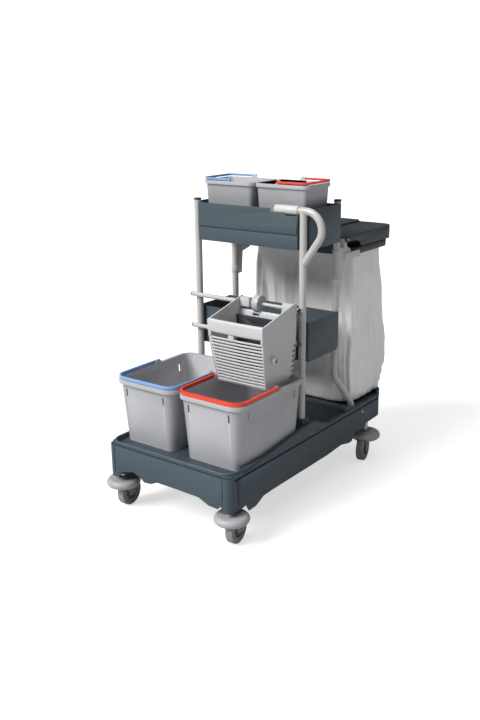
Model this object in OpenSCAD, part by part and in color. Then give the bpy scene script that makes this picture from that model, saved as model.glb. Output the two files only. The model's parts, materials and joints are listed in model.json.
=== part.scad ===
// Housekeeping cart: castored base, four-post frame, mop buckets with a press,
// two trays, two pails, and a lidded waste bag.
// Frame: X across the cart, -Y is the bucket end, +Z up, floor at z = 0.

/* [Frame] */
// Distance between the left and right post axes
post_span = 450; // [420:5:470]
// Distance from the front posts to the rear posts
post_gap = 217; // [200:1:230]
// Outer diameter of the post tubes
tube_d = 25; // [22:0.5:28]
// Wall of the post tubes
tube_wall = 1.5; // [1:0.5:3]
// Height of the post tops
post_top = 1038; // [1000:1:1060]

/* [Base] */
// Half width of the base
base_hw = 266; // [258:1:272]
// Front face of the base
base_front = -534; // [-545:1:-525]
// Rear face of the base
base_rear = 480; // [470:1:490]
// Top of the base skirt
base_top = 236; // [232:1:242]
// Lower edge of the base skirt
skirt_z = 130; // [124:1:140]

/* [Casters] */
// Wheel diameter
wheel_d = 100; // [90:1:105]
// Wheel width
wheel_w = 28; // [22:1:32]
// Bumper disc diameter
bumper_d = 118; // [110:1:124]
// Distance from the swivel axis to the axle
trail = 26; // [15:1:34]
// Distance from the middle of the cart to the swivel axes
caster_x = 240; // [232:1:246]

/* [Buckets] */
// Outer width of a mop bucket at its rim
bucket_w = 264; // [250:1:266]
// Outer length of a mop bucket at its rim
bucket_l = 392; // [370:1:400]
// Height of a mop bucket
bucket_h = 226; // [200:1:230]
// Outer width of a pail at its rim
pail_w = 220; // [200:1:222]
// Outer length of a pail at its rim
pail_l = 165; // [150:1:175]
// Height of a pail
pail_h = 204; // [160:1:210]

/* [Press] */
// Width of the press
press_w = 224; // [200:1:226]
// Number of slats in its front
slat_count = 14; // [8:1:16]

/* [Trays] */
// Half width of the trays
tray_hw = 243; // [240:1:246]
// Floor of the top tray
top_tray_z = 898; // [880:1:910]
// Floor of the middle tray
mid_tray_z = 508; // [495:1:520]

/* [Waste bag] */
// Top of the bag ring
ring_top = 858; // [850:1:864]
// Half width of the bag ring
ring_hw = 233; // [225:1:236]

/* [Hidden] */
$fn = 48;
px = post_span / 2;
front_y = -64;
rear_y = front_y + post_gap;
tube_r = tube_d / 2;

corner_r = 58;
skin = 4;
gap = 4;
front_top = base_top + 12;
deck_z = base_top + gap;
deck_hw = base_hw - 3;
deck_front = base_front + 8;
deck_rear = base_rear + 8;
deck_t = 6;
deck_floor = deck_z + deck_t;
lip_t = 12;
lip_h = 9;
pad_z = 303;
well_y0 = 68;
well_y1 = 186;
well_hw = 236;
well_depth = 84;
platform_y = 222;
cross_h = 20;
leg_x = 238;
leg_y = 264;
leg_bend_z = 422;
leg_angle = 40;
leg_r = 60;

front_caster_y = -492;
rear_caster_y = 380;
caster_places = [[-caster_x, front_caster_y], [caster_x, front_caster_y],
                 [-caster_x, rear_caster_y], [caster_x, rear_caster_y]];
caster_turn = [94, 97, 272, 282];
stem_r = 10;
stem_gap = 0.05;
socket_r = 17;
bumper_z0 = 83;
bumper_z1 = 112;
crown_r = 18;
fork_top = 118;
fork_t = 4;
axle_r = 4;
hub_r = 33;
bush_gap = 0.05;

rail_r = 8;
rail_y = front_y - tube_r - rail_r;
rail_up = 696;
rail_low = 578;
rail_x0 = -242;
rail_x1 = 222;

bucket_x = 137;
bucket_y = -290;
bucket_z = deck_floor;
bucket_top = bucket_z + bucket_h;
rim_t = 3;
pivot_up = 7;

pail_x = 112;
pail_y = 43;
pail_z = top_tray_z + 3;
pail_top = pail_z + pail_h;

press_x = 132;
press_front = -326;
press_back = -129;
press_low = 470;
press_high = 733;
press_wall = 4;
hopper_back = -150;
plate_y = -170;
plate_t = 4;
push_rod_r = 5;
push_rod_z = 631;
lever_y = -137;
lever_z = 714;
lever_x = 95;
lever_r = 29;
knob_y = -263;
knob_z = 568;

lid_front = 186;
lid_hinge_y = 198;
lid_hinge_z = 899;
lid_rear = 552;
lid_low = 863;
lid_top = 911;
lid_hw = 243;
lid_r0 = 16;
lid_r1 = 48;
ring_y0 = 239;
ring_y1 = 542;
ring_z0 = 832;
ring_w = 19;
bag_wall = 3;
bag_low = 254;

handle_z = 1028;
handle_arc_x = 236;
handle_arc_r = 60;
handle_arc_end = -35;

dark = [0.27, 0.32, 0.36];
darker = [0.17, 0.19, 0.21];
grey = [0.70, 0.70, 0.70];
tube_grey = [0.78, 0.78, 0.76];
red = [0.86, 0.25, 0.18];
blue = [0.48, 0.62, 0.85];
wheel_grey = [0.42, 0.40, 0.38];
steel = [0.6, 0.6, 0.62];

// ---- shared shapes ----

module at(p) translate(p) children();

// Rectangle from corner to corner with round corners of radius r
module round_rect(x0, y0, x1, y1, r) {
  at([x0 + r, y0]) square([x1 - x0 - 2 * r, y1 - y0]);
  at([x0, y0 + r]) square([x1 - x0, y1 - y0 - 2 * r]);
  for (x = [x0 + r, x1 - r], y = [y0 + r, y1 - r]) at([x, y]) circle(r);
}

// Rectangle with its own corner radius at the front and at the rear
module base_outline(hw, y0, y1, r0, r1) {
  mid = (y0 + y1) / 2;
  intersection() {
    round_rect(-hw, y0, hw, y1 + r0, r0);
    at([-hw, y0]) square([2 * hw, mid - y0]);
  }
  intersection() {
    round_rect(-hw, y0 - r1, hw, y1, r1);
    at([-hw, mid]) square([2 * hw, y1 - mid]);
  }
}

// Extrude an outline drawn in (y, z) from x0 to x1
module along_x(x0, x1) {
  at([x0, 0, 0]) rotate([90, 0, 90]) linear_extrude(x1 - x0) children();
}

// Extrude an outline drawn in (x, z) from y0 to y1
module along_y(y0, y1) {
  at([0, y1, 0]) rotate([90, 0, 0]) linear_extrude(y1 - y0) children();
}

module rod_x(x0, x1, r) at([x0, 0, 0]) rotate([0, 90, 0]) cylinder(h = x1 - x0, r = r);
module rod_y(y0, y1, r) at([0, y0, 0]) rotate([-90, 0, 0]) cylinder(h = y1 - y0, r = r);

module box(x0, x1, y0, y1, z0, z1) at([x0, y0, z0]) cube([x1 - x0, y1 - y0, z1 - z0]);

module tube(z0, z1) {
  difference() {
    at([0, 0, z0]) cylinder(h = z1 - z0, r = tube_r);
    at([0, 0, z0 - 1]) cylinder(h = z1 - z0 + 2, r = tube_r - tube_wall);
  }
}

// Bent tube swept along a line in the XZ plane. Each entry of line is [x, z, a]: a point
// and the direction in the plane that its ring's first vertex faces.
bend_sides = 24;
bend_step = 10;
function tube_ring(e, r) = [for (i = [0 : bend_sides - 1])
  let (c = r * cos(360 * i / bend_sides))
    [e[0] + c * cos(e[2]), r * sin(360 * i / bend_sides), e[1] + c * sin(e[2])]];
module bent_tube(line) {
  n = bend_sides;
  last = len(line) - 1;
  inner = n * len(line);
  polyhedron(
    points = [for (r = [tube_r, tube_r - tube_wall], e = line, q = tube_ring(e, r)) q],
    faces = [
      for (k = [0 : last - 1], i = [0 : n - 1]) let (j = (i + 1) % n)
        [k * n + i, k * n + j, k * n + n + j, k * n + n + i],
      for (k = [0 : last - 1], i = [0 : n - 1]) let (j = (i + 1) % n, o = inner + k * n)
        [o + i, o + n + i, o + n + j, o + j],
      for (i = [0 : n - 1]) let (j = (i + 1) % n) [i, inner + i, inner + j, j],
      for (i = [0 : n - 1]) let (j = (i + 1) % n, o = last * n)
        [o + i, o + j, inner + o + j, inner + o + i]],
    convexity = 6);
}

// ---- base ----

// Lower edge of one side panel, front to rear, in (y, z)
side_profile = [
  [base_front, base_top], [base_front, skirt_z + 1], [-461, skirt_z + 1], [-449, 135],
  [-432, 107], [-394, 109], [-352, 128], [-300, skirt_z], [46, skirt_z],
  [150, 136], [205, 124], [228, 124], [250, 149], [334, 151], [336, 164],
  [base_rear - corner_r, 166], [base_rear, 166], [base_rear, base_top]];

// Lower edge of the front panel, left to right, in (x, z)
front_profile = [
  [-base_hw, front_top], [-base_hw, skirt_z], [-222, 134], [-205, 156], [-150, 169],
  [-125, 160], [-99, 144], [-70, 147], [-41, 160], [50, 160], [137, 158], [178, 141],
  [216, 139], [228, 152], [238, 136], [base_hw, skirt_z], [base_hw, front_top]];

module caster_socket(p) {
  at([p[0], p[1], fork_top + 3]) difference() {
    cylinder(h = base_top - fork_top - 4, r = socket_r);
    at([0, 0, -1]) cylinder(h = base_top, r = stem_r);
  }
}

tab_y = 302;
tab_z = 223;
tab_t = 6;
screw_r = 2.4;
head_r = 5;
head_t = 2.6;

// Shanks of the screws that hold the deck down: two through the side walls, two under
// the buckets
module deck_screw_shanks() {
  for (s = [-1, 1]) {
    at([s * base_hw, tab_y, tab_z]) rod_x(s < 0 ? 0 : -9, s < 0 ? 9 : 0, screw_r);
    at([s * bucket_x, bucket_y, base_top - skin])
      cylinder(h = deck_floor - head_t - base_top + skin, r = screw_r);
  }
}

module chassis() color(dark) {
  difference() {
    union() {
      // side panels and corner walls from the outline
      difference() {
        at([0, 0, 100]) linear_extrude(front_top - 100)
          base_outline(base_hw, base_front, base_rear, 26, corner_r);
        at([0, 0, 99]) linear_extrude(front_top)
          base_outline(base_hw - skin, base_front + skin, base_rear - skin,
                       26 - skin, corner_r - skin);
      }
      // top plate, down the middle
      at([0, 0, base_top - skin]) linear_extrude(skin)
        base_outline(base_hw - 1, base_front + 1, base_rear - 1, 25, corner_r - 1);
      for (p = caster_places) caster_socket(p);
      // ribs that tie the sockets to the side walls
      for (p = caster_places, s = [-1, 1]) {
        box(p[0] - 2, p[0] + 2, p[1] + (s < 0 ? -36 : 14), p[1] + (s < 0 ? -14 : 36),
            fork_top + 30, base_top - 2);
      }
    }
    // shaped lower edges
    along_x(-base_hw - 1, base_hw + 1) polygon(concat(
      [for (i = [1 : len(side_profile) - 2]) side_profile[i]],
      [[base_rear + 1, 166], [base_rear + 1, 90], [base_front - 1, 90],
       [base_front - 1, skirt_z + 1]]));
    along_y(base_front - 1, base_front + 27) polygon(concat(
      [for (i = [2 : len(front_profile) - 3]) front_profile[i]],
      [[238, 90], [-222, 90]]));
    // side and rear walls stop at base_top; only the front stands higher
    box(-base_hw - 1, base_hw + 1, base_front + 26, base_rear + 1, base_top, front_top + 1);
    // opening for the well
    box(-well_hw - 4, well_hw + 4, well_y0 - 4, well_y1 + 4, base_top - 5, base_top + 1);
    for (p = caster_places) at([p[0], p[1], fork_top]) cylinder(h = 112, r = stem_r);
    // slots for the deck's tabs, and screw holes beside them
    for (s = [-1, 1]) at([s * (base_hw - skin), 0, 0])
      box(s < 0 ? 0 : -tab_t - 0.5, s < 0 ? tab_t + 0.5 : 0, tab_y - 19, tab_y + 19,
          base_top - 5, base_top + 1);
    deck_screw_shanks();
  }
}

module foot_pad(s) {
  hull() {
    at([s * 225 - 24, front_y - 26, deck_floor - 1]) cube([48, 52, 1]);
    at([s * 225 - 17, front_y - 17, pad_z - 1]) cube([34, 34, 1]);
  }
}

// Ramp along one side, rising to the foot of the front post and falling again
module side_ramp(s) {
  along_x(min(s * 249, s * deck_hw), max(s * 249, s * deck_hw)) polygon([
    [deck_front + 60, deck_floor - 1], [deck_front + 62, deck_floor],
    [front_y - 30, pad_z - 14], [front_y + 22, pad_z - 14],
    [well_y0 - 4, deck_floor + 4], [well_y0 + 1, deck_floor - 1]]);
}

module deck_tray() color(dark) {
  difference() {
    union() {
      at([0, 0, deck_z]) linear_extrude(deck_t)
        base_outline(deck_hw, deck_front, deck_rear, 24, corner_r);
      // ledge that the deck rests on
      at([0, 0, base_top]) linear_extrude(gap) difference() {
        base_outline(deck_hw - 8, deck_front + 8, deck_rear - 18, 20, corner_r - 10);
        base_outline(deck_hw - 14, deck_front + 14, deck_rear - 24, 16, corner_r - 16);
      }
      // front lip
      intersection() {
        difference() {
          at([0, 0, deck_floor - 1]) linear_extrude(lip_h + 1)
            base_outline(deck_hw, deck_front, deck_rear, 24, corner_r);
          at([0, 0, deck_floor - 2]) linear_extrude(lip_h + 4)
            base_outline(deck_hw - lip_t, deck_front + lip_t, deck_rear, 14, corner_r);
        }
        box(-300, 300, deck_front - 1, deck_front + 70, 0, 400);
      }
      // side rims and rear wall of the bag platform
      difference() {
        at([0, 0, deck_floor - 1]) linear_extrude(24)
          base_outline(deck_hw, deck_front, deck_rear, 24, corner_r);
        at([0, 0, deck_floor - 2]) linear_extrude(30)
          base_outline(deck_hw - 7, deck_front, deck_rear - 7, 24, corner_r - 7);
        box(-300, 300, deck_front - 1, deck_rear - corner_r, deck_floor + 8, 400);
        box(-300, 300, deck_front - 1, well_y0, 0, 400);
      }
      // cross-member in front of the bag platform
      box(-deck_hw + 6, deck_hw - 6, well_y1 + 4, platform_y, deck_floor - 1,
          deck_floor + cross_h);
      // ridge between the post feet
      box(-deck_hw + 10, deck_hw - 10, front_y - 14, front_y + 22, deck_floor - 1,
          deck_floor + 26);
      for (s = [-1, 1]) {
        foot_pad(s);
        side_ramp(s);
      }
      // tabs that hang inside the chassis walls
      for (s = [-1, 1]) at([s * (base_hw - skin), 0, 0])
        box(s < 0 ? 0 : -tab_t, s < 0 ? tab_t : 0, tab_y - 18, tab_y + 18, tab_z - 10, deck_z + 1);
      // well walls and floor
      box(-well_hw - 3, well_hw + 3, well_y0 - 3, well_y1 + 3, deck_z - well_depth, deck_z + 1);
    }
    box(-well_hw, well_hw, well_y0, well_y1, deck_z - well_depth + 3, 400);
    // sockets for the posts
    for (s = [-1, 1]) {
      at([s * px, front_y, pad_z - 25]) cylinder(h = 40, r = tube_r + 0.02);
      at([s * leg_x, leg_y, deck_z]) cylinder(h = 40, r = tube_r + 0.02);
      // drain holes in the ramps
      at([s * 257, front_y - 20, 0]) cylinder(h = 400, r = 3);
      // recesses for the screw heads
      at([s * bucket_x, bucket_y, deck_floor - head_t]) cylinder(h = head_t + 1, r = head_r);
    }
    deck_screw_shanks();
  }
}

module deck_screws() color(steel) {
  deck_screw_shanks();
  for (s = [-1, 1]) {
    at([s * base_hw, tab_y, tab_z]) rod_x(s < 0 ? -head_t : 0, s < 0 ? 0 : head_t, head_r);
    at([s * bucket_x, bucket_y, deck_floor - head_t]) cylinder(h = head_t, r = head_r);
  }
}

// ---- frame ----

module post_front(s) color(tube_grey) at([s * px, front_y, 0]) {
  if (s < 0) tube(pad_z - 25, post_top);
  else difference() {
    tube(pad_z - 25, handle_z);
    at([0, 0, handle_z]) rod_x(-40, 40, tube_r);
  }
}

// Rear post: straight from the top, then a double bend out to its foot
leg_run = norm([leg_x - px, leg_y - rear_y]);
leg_slope = (leg_run - 2 * leg_r * (1 - cos(leg_angle))) / sin(leg_angle);
leg_drop = 2 * leg_r * sin(leg_angle) + leg_slope * cos(leg_angle);
module post_rear(s) color(tube_grey) {
  low_bend = leg_bend_z - leg_drop;
  at([s * px, rear_y, 0]) rotate([0, 0, atan2(leg_y - rear_y, s * (leg_x - px))])
    bent_tube(concat(
      [[0, post_top, 180]],
      [for (a = [0 : bend_step : leg_angle])
        [leg_r * (1 - cos(a)), leg_bend_z - leg_r * sin(a), 180 + a]],
      [for (a = [leg_angle : -bend_step : 0])
        [leg_run - leg_r * (1 - cos(a)), low_bend + leg_r * sin(a), 180 + a]],
      [[leg_run, deck_z, 180]]));
}

// The bent posts have flat-sided bores, so the plug is that much slimmer
cap_gap = 0.12;
module cap(p) at(p) {
  cylinder(h = 6, r = tube_r + 0.8);
  at([0, 0, -14]) cylinder(h = 15, r = tube_r - tube_wall - cap_gap);
}

module post_caps() color(darker) {
  cap([-px, front_y, post_top]);
  cap([-px, rear_y, post_top]);
  cap([px, rear_y, post_top]);
}

module rail(z) color(tube_grey) at([0, rail_y, z]) difference() {
  rod_x(rail_x0, rail_x1, rail_r);
  rod_x(rail_x0 - 1, rail_x1 + 1, rail_r - 1.5);
}

module rail_end_caps() color(darker) {
  for (z = [rail_low, rail_up]) at([0, rail_y, z]) {
    rod_x(rail_x0 - 4, rail_x0, rail_r);
    rod_x(rail_x0, rail_x0 + 10, rail_r - 1.52);
    rod_x(rail_x1, rail_x1 + 4, rail_r);
    rod_x(rail_x1 - 10, rail_x1, rail_r - 1.52);
  }
}

// Saddle that seats a rail on a post
module rail_saddles() color(tube_grey) {
  for (s = [-1, 1], z = [rail_low, rail_up]) difference() {
    box(s * px - 9, s * px + 9, rail_y, front_y, z - 6, z + 6);
    at([0, rail_y, z]) rod_x(s * px - 20, s * px + 20, rail_r);
    at([s * px, front_y, z - 20]) cylinder(h = 40, r = tube_r);
  }
}

// Handle: level grip, arc, then a straight run back to the post
module push_handle() color(tube_grey) at([0, front_y, 0]) {
  arc_z = handle_z - handle_arc_r;
  end_x = handle_arc_x + handle_arc_r * cos(handle_arc_end);
  end_z = arc_z + handle_arc_r * sin(handle_arc_end);
  difference() {
    bent_tube(concat(
      [[120, handle_z, 90]],
      [for (i = [0 : 12]) let (a = 90 + (handle_arc_end - 90) * i / 12)
        [handle_arc_x + handle_arc_r * cos(a), arc_z + handle_arc_r * sin(a), a]],
      [[px, end_z - (end_x - px) / tan(-handle_arc_end), handle_arc_end]]));
    at([px, 0, 700]) cylinder(h = handle_z - 700, r = tube_r);
  }
}

// Moulded sleeve on the level part of the handle, closed at its inner end
module handle_sleeve() color(tube_grey) at([0, front_y, handle_z]) difference() {
  rod_x(116, 208, 15.5);
  rod_x(120, 209, tube_r);
}

// ---- trays ----

// Tray plan: between the front posts at the front, full width behind them
module tray_plan(inset, front, back) {
  at([-tray_hw + inset, front_y + 14 + inset])
    square([2 * (tray_hw - inset), back - front_y - 14 - 2 * inset]);
  at([-px + 15 + inset, front + inset])
    square([2 * (px - 15 - inset), back - front - 2 * inset]);
}

module tray_wings(z0, z1) {
  for (s = [-1, 1])
    box(min(s * tray_hw, s * (tray_hw - 3)), max(s * tray_hw, s * (tray_hw - 3)),
        rear_y - 16, rear_y - 6, z0, z1);
}

module top_tray() color(dark) {
  h = 133;
  front = front_y - 15;
  back = rear_y - tube_r - 0.5;
  difference() {
    union() {
      at([0, 0, top_tray_z]) linear_extrude(h) tray_plan(0, front, back);
      // proud band across the front
      box(-px + 16, px - 16, front - 3, front + 1, top_tray_z + 52, top_tray_z + 82);
      tray_wings(top_tray_z, top_tray_z + h);
    }
    at([0, 0, top_tray_z + 3]) linear_extrude(h) tray_plan(3, front, back);
    // groove under the band
    box(-px + 14, px - 14, front - 1, front + 1.2, top_tray_z + 47, top_tray_z + 52);
    // notch that clears the handle
    along_y(front - 5, front + 6) polygon([
      [150, top_tray_z + h + 1], [166, top_tray_z + 113], [px, top_tray_z + 113],
      [px, top_tray_z + h + 1]]);
    at([0, front_y, handle_z]) rod_x(100, 260, 17);
  }
}

module mid_tray() color(dark) {
  h = 140;
  back = rear_y - tube_r - 0.5;
  difference() {
    union() {
      at([0, 0, mid_tray_z]) linear_extrude(h)
        at([-tray_hw, front_y + 14]) square([2 * tray_hw, back - front_y - 14]);
      tray_wings(mid_tray_z + 12, mid_tray_z + h);
    }
    at([0, 0, mid_tray_z + 3]) linear_extrude(h)
      at([-tray_hw + 3, front_y + 17]) square([2 * tray_hw - 6, back - front_y - 20]);
  }
}

// Clips that hold the trays to the posts
module tray_clips() color(darker) {
  for (s = [-1, 1], z = [mid_tray_z + 112, top_tray_z + 66]) {
    difference() {
      box(s * px - 14, s * px + 14, front_y + 6, front_y + 14, z, z + 26);
      at([s * px, front_y, z - 1]) cylinder(h = 28, r = tube_r);
    }
  }
  for (s = [-1, 1], z = [mid_tray_z + 60, top_tray_z + 66])
    difference() {
      box(s * px - 14, s * px + 14, rear_y - tube_r - 0.5, rear_y - 6, z, z + 26);
      at([s * px, rear_y, z - 1]) cylinder(h = 28, r = tube_r);
    }
}

// ---- buckets and pails ----

// Tapered block: w by l at the top, narrower by taper all round at the bottom
module taper_block(w, l, h, taper, r) {
  hull() {
    at([0, 0, h - 1]) linear_extrude(1) round_rect(-w / 2, -l / 2, w / 2, l / 2, r, $fn = 32);
    linear_extrude(1) round_rect(-w / 2 + taper, -l / 2 + taper, w / 2 - taper,
                                 l / 2 - taper, r - 8, $fn = 32);
  }
}

// Open shell with a folded rim: a flat flange of width rim_w and a skirt of height rim_h
module pail_shell(w, l, h, taper, r, wall, rim_h, rim_w) {
  body_w = w - 2 * rim_w + 2 * wall;
  body_l = l - 2 * rim_w + 2 * wall;
  difference() {
    union() {
      taper_block(body_w, body_l, h, taper, r - rim_w);
      at([0, 0, h - rim_t]) linear_extrude(rim_t)
        round_rect(-w / 2, -l / 2, w / 2, l / 2, r);
      at([0, 0, h - rim_h]) linear_extrude(rim_h) difference() {
        round_rect(-w / 2, -l / 2, w / 2, l / 2, r);
        round_rect(-w / 2 + 2, -l / 2 + 2, w / 2 - 2, l / 2 - 2, r - 2);
      }
    }
    at([0, 0, wall]) taper_block(body_w - 2 * wall, body_l - 2 * wall, h, taper,
                                 r - rim_w - wall);
  }
}

// Ears on the flange with the pins that the bail turns on
module ears(half, along, h, rim_w, arm_w, ear_l, pin_r) {
  for (s = [0, 1]) mirror([s, 0, 0]) {
    along_x(half - rim_w, half - arm_w - 1.4) polygon([
      [along - ear_l, h - 1], [along - ear_l / 3, h + 2 * pivot_up],
      [along + ear_l / 3, h + 2 * pivot_up], [along + ear_l, h - 1]]);
    at([0, along, h + pivot_up]) rod_x(half - arm_w - 2, half - 2.4, pin_r);
  }
}

// U-shaped bail in plan: arms run from the pivots round the far corners of the rim
module bail_plan(half, y0, y1, w, r) {
  difference() {
    intersection() {
      round_rect(-half, y0, half, y1 + 2 * r, r);
      at([-half, y0]) square([2 * half, y1 - y0]);
    }
    round_rect(-half + w, y0 + w, half - w, y1 + 2 * r, r - w);
  }
}

module bail(half, y0, pivot, w, t, r, pin_r) {
  difference() {
    union() {
      at([0, 0, pivot_up - t / 2]) linear_extrude(t) bail_plan(half, y0, pivot, w, r);
      for (s = [-1, 1]) at([s * (half - w / 2), pivot, pivot_up])
        rod_x(-w / 2, w / 2, pivot_up - 0.5);
    }
    at([0, pivot, pivot_up]) rod_x(-half + 1, half - 1, pin_r + 0.05);
  }
}

bucket_rim = 12;
bucket_arm = 8;
module bucket(s) color(grey) at([s * bucket_x, bucket_y, bucket_z]) {
  pail_shell(bucket_w, bucket_l, bucket_h, 15, 46, 2.5, 15, bucket_rim);
  ears(bucket_w / 2, 20, bucket_h, bucket_rim, bucket_arm, 22, 3);
}

module bucket_bail(s, colour) color(colour) at([s * bucket_x, bucket_y, bucket_top])
  bail(bucket_w / 2 - 1, -bucket_l / 2 + 1, 20, bucket_arm - 0.4, 12, 45, 3);

pail_rim = 8;
pail_arm = 5;
module pail(s) color(grey) at([s * pail_x, pail_y, pail_z]) rotate([0, 0, s * 90]) {
  pail_shell(pail_l, pail_w, pail_h, 12, 26, 2, 12, pail_rim);
  ears(pail_l / 2, 8, pail_h, pail_rim, pail_arm, 14, 2.5);
}

module pail_bail(s, colour) color(colour)
  at([s * pail_x, pail_y, pail_top]) rotate([0, 0, s * 90])
    bail(pail_l / 2 - 0.6, -pail_w / 2 + 0.6, 8, pail_arm - 0.4, 8, 25, 2.5);

// ---- press ----

press_x0 = press_x - press_w / 2;
press_x1 = press_x + press_w / 2;
press_outline = [
  [press_front + 4, 689], [press_front + 32, press_low], [press_back - 46, press_low],
  [press_back - 8, press_low + 20], [press_back, 600], [press_back, press_high],
  [press_back - 6, press_high]];
slat_pitch = 12;
slat_slot = 5;

module press_body() color(grey) {
  difference() {
    along_x(press_x0, press_x1) polygon(press_outline);
    // hopper
    along_x(press_x0 + press_wall, press_x1 - press_wall) polygon([
      [press_front + 8, 760], [press_front + 8, 689], [press_front + 37, press_low + 4],
      [hopper_back - 4, press_low + 4], [hopper_back - 4, 760]]);
    // open bay behind the hopper, for the lever
    box(press_x0 + press_wall, press_x1 - press_wall, hopper_back, press_back + 1,
        press_low - 1, 760);
    // slots between the slats
    for (i = [0 : slat_count - 1])
      box(press_x0 + 14, press_x1 - 14, press_front - 10, press_front + 50,
          press_low + 12 + i * slat_pitch, press_low + 12 + i * slat_pitch + slat_slot);
    // drain slots in the floor
    for (x = [press_x0 + 20 : 34 : press_x1 - 40])
      box(x, x + 22, press_front + 60, hopper_back - 20, press_low - 2, press_low + 20);
    // slot for the lever and holes for the push rods in the rear wall
    box(lever_x - 14, lever_x + 14, hopper_back - 5, hopper_back + 1, lever_z - 40, 760);
    for (s = [-1, 1]) at([press_x + s * 60, 0, push_rod_z])
      rod_y(hopper_back - 5, hopper_back + 1, push_rod_r + 0.08);
    // seats for the lever shaft
    at([0, lever_y, lever_z]) rod_x(press_x0 - 1, press_x1 + 1, 6);
    // oval slot below the side knobs
    for (s = [0 : 4]) at([0, knob_y - 4 * s, knob_z - 14 - 4 * s])
      rod_x(press_x0 - 1, press_x1 + 1, 6);
  }
  // top of the rear wall
  difference() {
    box(press_x0 + press_wall - 1, press_x1 - press_wall + 1, hopper_back - 4,
        press_back - hook_plate, 684, 688);
    box(lever_x - 14, lever_x + 14, hopper_back - 5, press_back + 1, 680, 700);
  }
}

hook_gap = 0.35;
hook_plate = 3;
// Hooks over the rails, open downwards so that the press lifts off
module press_hooks() color(grey) {
  for (s = [-1, 1], z = [rail_low, rail_up]) {
    x = press_x + s * 66;
    difference() {
      along_x(x - 10, x + 10) polygon([
          [press_back, z - 34], [rail_y - rail_r - 4, z - 16], [rail_y - rail_r, z],
          [rail_y + rail_r, z], [rail_y + rail_r + 3.5, z - 4], [rail_y + rail_r + 3.5, z + 8],
          [rail_y + 4, z + 15], [rail_y - 8, z + 15], [press_back, z + 22]]);
      at([0, rail_y, z]) rod_x(x - 20, x + 20, rail_r + hook_gap);
      box(x - 20, x + 20, rail_y - rail_r - hook_gap, rail_y + rail_r + hook_gap, z - 40, z);
    }
  }
  // back plates that carry the hooks between the side walls
  box(press_x0 + press_wall, press_x1 - press_wall, press_back - hook_plate, press_back,
      rail_low - 34, rail_low + 22);
  for (s = [-1, 1]) {
    x = press_x + s * 80;
    box(x - 28, x + 28, press_back - hook_plate, press_back, rail_up - 24, rail_up + 10);
  }
}

// Pressing plate with its two push rods
module press_plate() color(darker) {
  inner = press_w / 2 - press_wall - 1.5;
  difference() {
    box(press_x - inner, press_x + inner, plate_y - plate_t, plate_y, 500, 676);
    for (s = [-1, 1]) at([press_x + s * 34, 0, 655]) rod_y(plate_y - 10, plate_y + 10, 4);
  }
  for (s = [-1, 1]) at([press_x + s * 60, 0, push_rod_z])
    rod_y(plate_y, plate_y + 75, push_rod_r);
}

// Lever hub with the socket for its handle
module press_lever() color(grey) at([0, lever_y, lever_z]) difference() {
  rod_x(lever_x - 12, lever_x + 12, lever_r);
  rod_x(lever_x - 20, lever_x + 20, 6.05);
  at([lever_x, 0, 0]) rotate([-20, 0, 0]) at([0, 0, 10]) cylinder(h = 30, r = 7);
}

module press_shaft() color(tube_grey) at([0, lever_y, lever_z])
  rod_x(press_x0, press_x1, 6);

module press_knobs() color(tube_grey) for (s = [-1, 1])
  at([0, knob_y, knob_z]) difference() {
    x = s < 0 ? press_x0 : press_x1;
    rod_x(min(x, x + s * 12), max(x, x + s * 12), 10);
    rod_x(min(x + s * 3, x + s * 13), max(x + s * 3, x + s * 13), 6);
  }

// ---- waste bag and lid ----

module bag_bracket(s) color(tube_grey) {
  difference() {
    union() {
      along_x(s * px - 8, s * px + 8) polygon([
        [rear_y + 12, 733], [rear_y + 32, 733], [rear_y + 38, 816], [ring_y0 - 0.5, 826],
        [ring_y0 - 0.5, 860], [213, 872], [206, 899], [193, 899], [193, 872],
        [rear_y + 12, 872]]);
      at([0, lid_hinge_y, lid_hinge_z]) rod_x(s * px - 8, s * px + 8, 6.9);
      for (z = [742, 846]) at([s * px, rear_y, z]) cylinder(h = 22, r = tube_r + 3);
      box(min(s * ring_hw, s * (ring_hw + 5)), max(s * ring_hw, s * (ring_hw + 5)),
          rear_y + 40, ring_y0 + 58, 826, 850);
    }
    at([s * px, rear_y, 700]) cylinder(h = 200, r = tube_r);
    at([0, lid_hinge_y, lid_hinge_z]) rod_x(s * px - 9, s * px + 9, 3);
  }
}

module bag_ring() color(darker) {
  difference() {
    at([0, 0, ring_z0]) linear_extrude(ring_top - ring_z0)
      round_rect(-ring_hw + 0.2, ring_y0, ring_hw - 0.2, ring_y1, 45);
    at([0, 0, ring_z0 - 1]) linear_extrude(ring_top)
      round_rect(-ring_hw + ring_w, ring_y0 + ring_w, ring_hw - ring_w, ring_y1 - ring_w, 40);
  }
}

// One level of the bag: z, how much narrower than the ring on each side, at the front, at
// the rear, and the corner radii at the front and at the rear
bag_top_level = [ring_z0 - 2, 0, 0, 0, 40, 40];
bag_mid_level = [420, -17, -8, -14, 64, 42];
bag_low_level = [bag_low, -24, -13, 50, 76, 38];
module bag_slice(level, inset, h) {
  at([0, 0, level[0]]) linear_extrude(h)
    base_outline(ring_hw - ring_w - level[1] - inset, ring_y0 + ring_w + level[2] + inset,
                 ring_y1 - ring_w - level[3] - inset, level[4] - inset, level[5] - inset,
                 $fn = 32);
}

module bag_solid(inset) {
  bag_slice(bag_top_level, inset, ring_top - 6 - bag_top_level[0]);
  hull() {
    bag_slice(bag_top_level, inset, 1);
    bag_slice(bag_mid_level, inset, 1);
  }
  hull() {
    bag_slice(bag_mid_level, inset, 1);
    bag_slice(bag_low_level, inset, 1);
  }
}

module waste_bag() color("white") difference() {
  bag_solid(0);
  at([0, 0, bag_wall]) bag_solid(bag_wall);
}

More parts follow.
